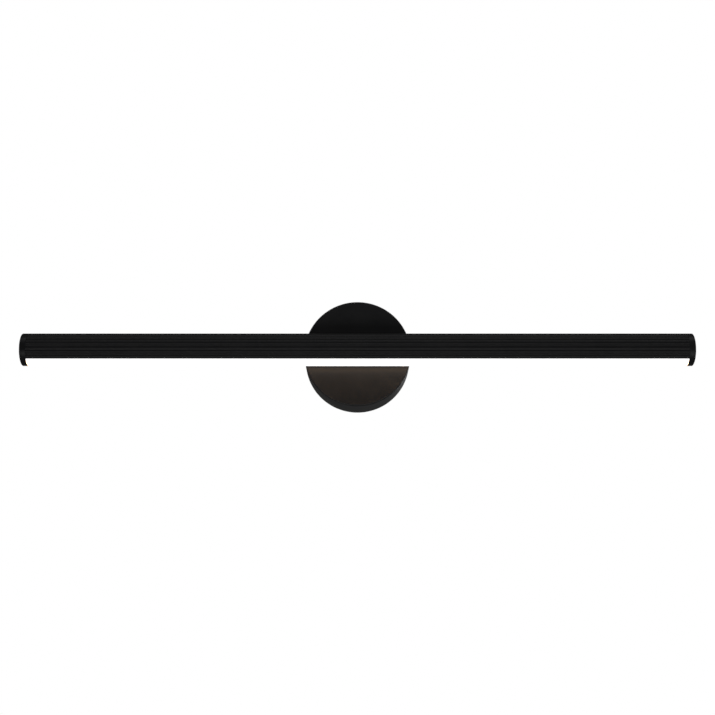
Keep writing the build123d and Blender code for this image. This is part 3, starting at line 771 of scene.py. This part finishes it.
def end_cap(side, node, name):
    inner_x = side * (bar_half_length - cap_thickness)
    corners = [(0, 0), (bar_radius, 0, CAP_EASE), (bar_radius, cap_thickness, CAP_EDGE), (0, cap_thickness)]
    outline = rounded(corners, 0, steps=6, closed=False)
    disc = turned([(r, side * along) for r, along in outline], "x", (inner_x, bar_axis_y, 0), 144, False)
    mesh = mesh_from(disc, name)
    for angle in PORT_ANGLES:
        place = bar_point(*polar(PORT_AT, angle), side * bar_half_length)
        inward = (-side, 0, 0)
        mesh = cut(mesh, plug(SINK_RADIUS, place, inward, SINK_DEPTH, 32, SCREW_HOLE),
                   plug(SCREW_HOLE, place, inward, 2 * cap_thickness, 32))
    return as_piece(name, mesh, "light_bar", [node], cap_coat_painted_shade)


end_cap(-1, "end_cap_left", "left_end_cap")
end_cap(1, "end_cap_right", "right_end_cap")

# %% [markdown]
# ## The canopy
#
# The canopy is a cup drawn from sheet steel. Drawing leaves a small radius between its face and its side,
# and the inside follows at the sheet's thickness. It is spun from its outline, then the side screws' holes
# are drilled.

# %% Canopy
canopy_low, canopy_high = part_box("canopy")
canopy_radius = canopy_high.x
SHEET = 1.2 * MM
CANOPY_EDGE = 1.8 * MM
RIM_EASE = 0.3 * MM
STEM_RADIUS = 4.0 * MM
SIDE_HOLE = 2.25 * MM
SIDE_SCREW_Y = -12.0 * MM

face_y, rim_y = canopy_low.y, canopy_high.y
canopy_outline = rounded([(canopy_radius, rim_y, RIM_EASE), (canopy_radius, face_y, CANOPY_EDGE),
                          (STEM_RADIUS, face_y, 0), (STEM_RADIUS, face_y + SHEET, 0),
                          (canopy_radius - SHEET, face_y + SHEET, CANOPY_EDGE - SHEET),
                          (canopy_radius - SHEET, rim_y, RIM_EASE)], 0, steps=12)
canopy_mesh = mesh_from(turned(canopy_outline, "y", (0, 0, 0), 256), "canopy")
side_drill = plug(SIDE_HOLE, (-2 * canopy_radius, SIDE_SCREW_Y, 0), (1, 0, 0), 4 * canopy_radius, 40)
as_piece("canopy_shell", cut(canopy_mesh, side_drill), "wall_side", ["canopy"], canopy_coat)

# %% [markdown]
# ## Finishes of the smaller parts
#
# Plated steel, brass, moulded plastic, rubber and solder mask each have a grain of their own. Two functions
# cover them: one for metals and one for what comes out of a mould.

# %% Metals and mouldings
METAL_SCRATCHES = 1800.0
METAL_CLOUDS = 90.0
METAL_RELIEF = 0.004 * MM
MOULD_PATCHES = 60.0


def metal(name, colour, roughness):
    """Plated or bare metal with fine, directionless scratches and a cloudy sheen."""
    material, tree, shader = new_material(name, colour, roughness, metallic=1.0)
    scratches = noise(tree, object_pattern(tree), METAL_SCRATCHES, detail=3.0)
    cloud = noise(tree, object_pattern(tree), METAL_CLOUDS, detail=4.0)
    tree.links.new(remap(tree, cloud, roughness - 0.07, roughness + 0.09), shader.inputs["Roughness"])
    dull = tuple(0.82 * value for value in colour)
    tree.links.new(colour_between(tree, remap(tree, cloud, 0, 1), dull, colour), shader.inputs["Base Color"])
    bump(tree, shader, scratches, METAL_RELIEF, 0.5)
    return material


def moulded(name, colour, roughness, grain=1500.0, depth=0.01):
    """Moulded plastic or rubber with a spark-eroded grain."""
    material, tree, shader = new_material(name, colour, roughness)
    texture = noise(tree, object_pattern(tree), grain, detail=2.0)
    patch = noise(tree, object_pattern(tree), MOULD_PATCHES, detail=3.0)
    paler = tuple(min(1.0, 1.08 * value + 0.004) for value in colour)
    tree.links.new(colour_between(tree, remap(tree, patch, 0, 1), colour, paler), shader.inputs["Base Color"])
    tree.links.new(remap(tree, texture, roughness - 0.05, roughness + 0.08), shader.inputs["Roughness"])
    bump(tree, shader, texture, depth * MM, 0.7)
    return material


zinc = metal("bright_zinc", (0.62, 0.63, 0.65), 0.34)
spring = metal("spring_steel", (0.30, 0.30, 0.33), 0.38)
brass = metal("machined_brass", (0.72, 0.52, 0.24), 0.30)
black_oxide = metal("black_oxide", (0.045, 0.045, 0.05), 0.46)
green_plate = metal("green_plate", (0.05, 0.32, 0.12), 0.40)
foam = moulded("closed_cell_foam", (0.022, 0.022, 0.023), 0.85, grain=1100.0, depth=0.12)
rubber = moulded("black_rubber", (0.025, 0.025, 0.026), 0.70)
white_plastic = moulded("white_moulding", (0.78, 0.78, 0.75), 0.45)
dark_plastic = moulded("dark_moulding", (0.04, 0.04, 0.045), 0.5)
insulation = moulded("lead_insulation", (0.72, 0.71, 0.66), 0.42, grain=600.0, depth=0.004)
white_mask = moulded("white_solder_mask", (0.86, 0.86, 0.83), 0.30, grain=2500.0, depth=0.003)
green_mask = moulded("green_solder_mask", (0.02, 0.20, 0.07), 0.28, grain=2500.0, depth=0.003)
phosphor = moulded("phosphor", (0.90, 0.70, 0.18), 0.35, grain=3000.0, depth=0.004)
print(len(bpy.data.materials), "finishes so far")

# %% [markdown]
# Screws and light-emitting diodes repeat, so a node tree sets them out. It takes one finished piece, places
# a copy at each point of a row, and turns the copies so that their heads face the right way. The piece
# itself is turned on the lathe like everything round, and its socket or cross is cut into the head.

# %% Setting out a row of copies
def row_tree(material):
    tree, given, result = new_tree("row", Count=2, Start=(0.0, 0.0, 0.0), Step=(0.01, 0.0, 0.0),
                                   Turn=(0.0, 0.0, 0.0))
    row = add_node(tree, "GeometryNodeMeshLine", Count=given.outputs["Count"],
                   Start_Location=given.outputs["Start"], Offset=given.outputs["Step"])
    copies = add_node(tree, "GeometryNodeInstanceOnPoints", Points=row, Instance=given.outputs["Geometry"],
                      Rotation=given.outputs["Turn"])
    return end_tree(tree, result, copies, material)


def rows_of(mesh, name, material, rows):
    """One mesh that holds every row; a row is (count, start, step, turn)."""
    tree = row_tree(material)
    bm = bmesh.new()
    for count, start, step, turn in rows:
        part = run_tree(tree, name, {"Count": count, "Start": start, "Step": step, "Turn": turn}, mesh)
        bm.from_mesh(part)
    merged = bpy.data.meshes.new(name)
    bm.to_mesh(merged)
    bm.free()
    return merged


print("rows can be set out")

# %% [markdown]
# Two kinds of screw hold the lamp together. A pan screw has a domed head with a cross recess, and a
# countersunk screw has a flat head with a hexagon socket. Each is drawn upright, with the flat of its head
# at the origin and its tip along -Z. The shank gets real grooves, because a screw without them looks like a
# nail.

# %% One screw of each kind
HEXAGON = 6
HEAD_SEGMENTS = 40
TO_FRONT = (math.radians(90), 0.0, 0.0)
TO_LEFT = (0.0, math.radians(-90), 0.0)
TO_RIGHT = (0.0, math.radians(90), 0.0)
UPSIDE_DOWN = (math.radians(180), 0.0, 0.0)


def thread(radius, top, tip, pitch=0.5 * MM, depth=0.12 * MM):
    """The outline of a shank with rolled grooves, from the head down to a bevelled tip."""
    outline = []
    grooves = max(1, int((top - tip) / pitch) - 1)
    for index in range(grooves):
        along = top - (index + 0.5) * pitch
        outline += [(radius, along + pitch / 4), (radius - depth, along), (radius, along - pitch / 4)]
    return outline + [(radius - 2 * depth, tip), (0, tip)]


def box_tool(width, length, low, high, turn=0.0):
    bm = bmesh.new()
    bmesh.ops.create_cube(bm, size=1.0)
    shape = Matrix.Diagonal((width, length, high - low, 1))
    bm.transform(Matrix.Translation((0, 0, (low + high) / 2)) @ Matrix.Rotation(turn, 4, "Z") @ shape)
    return mesh_from(bm, "box_tool")


def pan_screw(shank, head, height, length):
    """Domed head with a cross recess; its seat is at the origin."""
    dome = rounded([(0, height), (head, height, 0.6 * height), (head, 0.0, 0.1 * height), (shank, 0.0, 0)],
                   0, steps=6, closed=False)
    screw = turned(dome + thread(shank, 0.0, -length), "z", (0, 0, 0), HEAD_SEGMENTS, False)
    mesh = mesh_from(screw, "pan_screw")
    for turn in (0.0, math.radians(90)):
        mesh = cut(mesh, box_tool(head, 0.24 * head, 0.45 * height, 2 * height, turn))
    return mesh


def countersunk_screw(shank, head, height, length):
    """Flat head with a hexagon socket; the flat is at the origin."""
    outline = rounded([(0, 0), (head, 0, 0.12 * height), (shank, -height, 0)], 0, steps=3, closed=False)
    screw = turned(outline + thread(shank, -height, -length)[1:], "z", (0, 0, 0), HEAD_SEGMENTS, False)
    socket = turned([(0, -0.75 * height), (0.45 * head, -0.75 * height), (0.45 * head, height), (0, height)],
                    "z", (0, 0, 0), HEXAGON, False)
    return cut(mesh_from(screw, "countersunk_screw"), mesh_from(socket, "socket"))


print("two kinds of screw, with", HEAD_SEGMENTS, "sides each")

# %% [markdown]
# Every screw has its place in a row, even a single one. Each row starts at a seat, which is where the flat
# of the head lies, and turns its screws to face the way that a screwdriver comes from. The sizes are
# standard ones, from two and a half to four millimetres.

# %% The screws, in their places
BOARD_THICKNESS = 1.6 * MM
BEARING_SCREW_U = 9.6 * MM
BEARING_SCREW_X = 12.15 * MM
BOARD_SCREW_STEP = 120.0 * MM
BOARD_SCREWS_A_SIDE = 3
SCREW_SIZES = {  # shank radius, head radius, head height and length, in mm
    "end_cap_screws": (1.5, 2.7, 1.3, 16.0),
    "bearing_screws": (1.5, 2.7, 1.3, 4.5),
    "led_board_screws": (1.25, 2.2, 1.2, 3.1),
    "canopy_screws": (2.0, 3.5, 2.2, 8.0),
    "driver_screws": (1.5, 2.8, 2.0, 3.5),
    "ground_screw": (2.0, 4.0, 2.4, 2.0),
    "terminal_screw": (1.5, 2.7, 2.0, 11.0),
}


def across(u, v, x, turn):
    """A row of two, one at u and one at -u."""
    return 2, tuple(bar_point(u, v, x)), (0.0, 2 * u, 0.0), turn


def single(x, y, z, turn):
    return 1, (x, y, z), (0.0, 0.0, 0.0), turn


def head_seat(node):
    """A wall side screw's seat: the middle of its node's box, one head's height behind its front."""
    low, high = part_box(node)
    head_height = SCREW_SIZES[node][2] * MM
    return (low.x + high.x) / 2, low.y + head_height, (low.z + high.z) / 2


port_u, port_v = polar(PORT_AT, PORT_ANGLES[0])
both_sides = ((-1, TO_LEFT), (1, TO_RIGHT))
cap_ends = [across(port_u, port_v, side * bar_half_length, turn) for side, turn in both_sides]
bearing_rows = [across(BEARING_SCREW_U, WEB_BOTTOM, side * BEARING_SCREW_X, UPSIDE_DOWN) for side in (-1, 1)]
board_seat = WEB_BOTTOM - BOARD_THICKNESS
board_rows = [(BOARD_SCREWS_A_SIDE, tuple(bar_point(0, board_seat, first * BOARD_SCREW_STEP)),
               (BOARD_SCREW_STEP, 0.0, 0.0), UPSIDE_DOWN) for first in (-BOARD_SCREWS_A_SIDE, 1)]
canopy_rows = [single(side * canopy_radius, SIDE_SCREW_Y, 0.0, turn) for side, turn in both_sides]
driver_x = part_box("driver_screws")[1].x - SCREW_SIZES["driver_screws"][1] * MM
driver_seat = head_seat("driver_screws")
driver_rows = [(2, (-driver_x, *driver_seat[1:]), (2 * driver_x, 0.0, 0.0), TO_FRONT)]
ground_rows = [single(*head_seat("ground_screw"), TO_FRONT)]
terminal_rows = [single(*head_seat("terminal_screw"), TO_FRONT)]

SCREWS = (
    ("end_cap_screws", countersunk_screw, black_oxide, "black_screw", cap_ends),
    ("bearing_screws", countersunk_screw, zinc, "zinc_steel", bearing_rows),
    ("led_board_screws", pan_screw, zinc, "zinc_steel", board_rows),
    ("canopy_screws", pan_screw, black_oxide, "black_screw", canopy_rows),
    ("driver_screws", pan_screw, zinc, "zinc_steel", driver_rows),
    ("ground_screw", pan_screw, green_plate, "green_screw", ground_rows),
    ("terminal_screw", pan_screw, zinc, "zinc_steel", terminal_rows),
)
body_of_node = {node: body for body, members in frame["record"]["behaviour"]["bodies"].items()
                for node in members}
for node, kind, finish, slot, rows in SCREWS:
    screw = kind(*[value * MM for value in SCREW_SIZES[node]])
    as_piece(node + "_set", rows_of(screw, node, finish, rows), body_of_node[node], [node], finish)

# %% [markdown]
# The light-emitting diodes stand in a row on the board, facing down. Each is a small package with a shallow
# pool in its face, filled with yellow phosphor. There are seventy or so, so each has only a few faces.

# %% Light-emitting diodes
CHIP_LENGTH = 3.5 * MM
CHIP_WIDTH = 2.8 * MM
CHIP_HEIGHT = 0.7 * MM
CHIP_PITCH = 10.0 * MM
CHIP_POOL = 0.15 * MM
CHIP_RIM = 0.4 * MM


def chip():
    """A package with a pool in its underside; its seat is at the origin."""
    bm = bmesh.new()
    bmesh.ops.create_cube(bm, size=1.0)
    shape = Matrix.Diagonal((CHIP_LENGTH, CHIP_WIDTH, CHIP_HEIGHT, 1))
    bm.transform(Matrix.Translation((0, 0, -CHIP_HEIGHT / 2)) @ shape)
    underside = min(bm.faces, key=lambda face: face.calc_center_median().z)
    bmesh.ops.inset_individual(bm, faces=[underside], thickness=CHIP_RIM, depth=0.0)
    bmesh.ops.translate(bm, verts=underside.verts, vec=(0, 0, CHIP_POOL))
    return mesh_from(bm, "chip")


chips_low, chips_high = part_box("led_chips")
chip_count = round((chips_high.x - chips_low.x - CHIP_LENGTH) / CHIP_PITCH) + 1
first_chip = (chips_low.x + CHIP_LENGTH / 2, bar_axis_y, board_seat)
chip_row = [(chip_count, first_chip, (CHIP_PITCH, 0.0, 0.0), (0.0, 0.0, 0.0))]
as_piece("led_row", rows_of(chip(), "led_row", phosphor, chip_row), "light_bar",
         ["led_chips"], phosphor)

# %% [markdown]
# The stem is turned in one piece: a threaded tail inside the canopy, a collar that stands on the canopy's
# face, and a neck that reaches the axle. It is bored through for the lead.

# %% Stem
stem_low, stem_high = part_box("stem")
STEM_BORE = 2.5 * MM
COLLAR_THICKNESS = 1.3 * MM
THREAD_PITCH = 1.0 * MM
THREAD_DEPTH = 0.35 * MM
TURNED_EDGE = 0.1 * MM
COLLAR_EDGE = 0.5 * MM

tail = []
for groove in range(int((stem_high.y - face_y - SHEET) / THREAD_PITCH)):
    along = stem_high.y - (groove + 0.6) * THREAD_PITCH
    tail += [(STEM_RADIUS, along + THREAD_PITCH / 4, 0), (STEM_RADIUS - THREAD_DEPTH, along, 0),
             (STEM_RADIUS, along - THREAD_PITCH / 4, 0)]
stem_outline = rounded([(STEM_BORE, stem_high.y, 0), (STEM_RADIUS - THREAD_DEPTH, stem_high.y, 0), *tail,
                        (STEM_RADIUS, face_y, 0), (stem_high.x, face_y, TURNED_EDGE),
                        (stem_high.x, face_y - COLLAR_THICKNESS, COLLAR_EDGE),
                        (STEM_RADIUS, face_y - COLLAR_THICKNESS, 0), (STEM_RADIUS, stem_low.y, TURNED_EDGE),
                        (STEM_BORE, stem_low.y, TURNED_EDGE)], 0, steps=4)
as_piece("turned_stem", mesh_from(turned(stem_outline, "y", (0, 0, 0), 96), "stem"), "wall_side",
         ["stem"], canopy_coat)

# %% [markdown]
# ## What hides behind and inside
#
# The pressed, moulded and machined parts, and the foam ring that seals the canopy to the wall, keep the
# measured model's shape. Each gets its own finish and the bevel that its making leaves, in millimetres. The
# leads are round already, so they get none.

# %% Plate, driver, wiring and pivot
DRESSED = {
    "mounting_plate": (zinc, "zinc_steel", 0.25),
    "driver_base": (white_plastic, "white_plastic", 0.15),
    "driver_cover": (white_plastic, "white_plastic", 0.2),
    "driver_board": (green_mask, "circuit_board", 0.0),
    "driver_components": (dark_plastic, "component_black", 0.2),
    "terminal_block": (white_plastic, "white_plastic", 0.2),
    "supply_leads": (insulation, "lead_insulation", 0.0),
    "canopy_lead": (insulation, "lead_insulation", 0.0),
    "stem_lock_washer": (spring, "spring_steel", 0.08),
    "stem_nut": (zinc, "zinc_steel", 0.2),
    "pivot_axle": (zinc, "zinc_steel", 0.15),
    "friction_washers": (spring, "spring_steel", 0.08),
    "retaining_rings": (spring, "spring_steel", 0.08),
    "led_board": (white_mask, "white_board", 0.1),
    "bearing_block_left": (brass, "bearing_brass", 0.2),
    "bearing_block_right": (brass, "bearing_brass", 0.2),
    "bar_lead": (insulation, "lead_insulation", 0.0),
    "web_grommet": (rubber, "black_rubber", 0.1),
    "wall_gasket": (foam, "black_rubber", 0.2),
}
for node, (material, slot, bevel) in DRESSED.items():
    as_piece(node + "_part", eased_copy(node, bevel * MM), body_of_node[node], [node], material)

# %% [markdown]
# ## Floor and light
#
# A pale floor lies far below the lamp, so that every view has something to stand over. It glows a little,
# like lit paper, and it is hidden from the rays that bounce off the lamp, because a bright floor would wash
# out the black coat.

# %% Floor
FLOOR_Z = -1.2
FLOOR_RADIUS = 4.0
FLOOR_GLOW = 0.6
floor_mesh = mesh_from(turned([(0, 0), (FLOOR_RADIUS, 0)], "z", (0, 0, FLOOR_Z), 96, False), "floor")
floor = bpy.data.objects.new("floor", floor_mesh)
bpy.context.scene.collection.objects.link(floor)
paper, _, paper_shader = new_material("pale_paper", (0.86, 0.86, 0.86), 0.9)
paper_shader.inputs["Emission Color"].default_value = (1, 1, 1, 1)
paper_shader.inputs["Emission Strength"].default_value = FLOOR_GLOW
floor_mesh.materials.append(paper)
floor.visible_diffuse = False
floor.visible_glossy = False
print(f"floor {-FLOOR_Z:.1f} m below the lamp")

# %% [markdown]
# Black shows its shape only through what it reflects, so the light matters more than the colour. The world
# gives the camera plain white and everything else a dim, even room. Three wide softboxes then draw soft
# gradients: one over the bar, one low in front of it, and one behind on the right that picks out the
# canopy's side. The first two are much wider than the bar, so that it is lit alike from end to end.

# %% World and lamps
ROOM_LIGHT = 0.085
WHITE = (1, 1, 1, 1)

world = bpy.data.worlds.new("studio")
bpy.context.scene.world = world
world.use_nodes = True
sky = world.node_tree
backdrop = sky.nodes["Background"]
backdrop.inputs["Color"].default_value = WHITE
backdrop.inputs["Strength"].default_value = 1.0
room = sky.nodes.new("ShaderNodeBackground")
room.inputs["Color"].default_value = WHITE
room.inputs["Strength"].default_value = ROOM_LIGHT
seen = sky.nodes.new("ShaderNodeLightPath")
choose = sky.nodes.new("ShaderNodeMixShader")
sky.links.new(seen.outputs["Is Camera Ray"], choose.inputs[0])
sky.links.new(room.outputs[0], choose.inputs[1])
sky.links.new(backdrop.outputs[0], choose.inputs[2])
sky.links.new(choose.outputs[0], sky.nodes["World Output"].inputs["Surface"])
bpy.context.scene.view_settings.view_transform = "Standard"
bpy.context.scene.view_settings.look = "None"


def soft_light(name, place, width, height, power):
    """A rectangular softbox that faces the bar and isn't seen by the camera."""
    data = bpy.data.lights.new(name, "AREA")
    data.shape = "RECTANGLE"
    data.size = width
    data.size_y = height
    data.energy = power
    light = bpy.data.objects.new(name, data)
    bpy.context.scene.collection.objects.link(light)
    light.location = place
    aim_line = Vector((0, bar_axis_y, 0)) - Vector(place)
    light.rotation_euler = aim_line.to_track_quat("-Z", "Y").to_euler()
    light.visible_camera = False


soft_light("overhead_softbox", (0.1, -0.7, 1.8), 2.4, 0.9, 8.5)
soft_light("front_softbox", (0.1, -1.1, -0.85), 2.4, 0.6, 7.5)
soft_light("rim_softbox", (1.7, 1.6, -0.2), 1.0, 1.0, 13.0)
print("world and three softboxes ready")
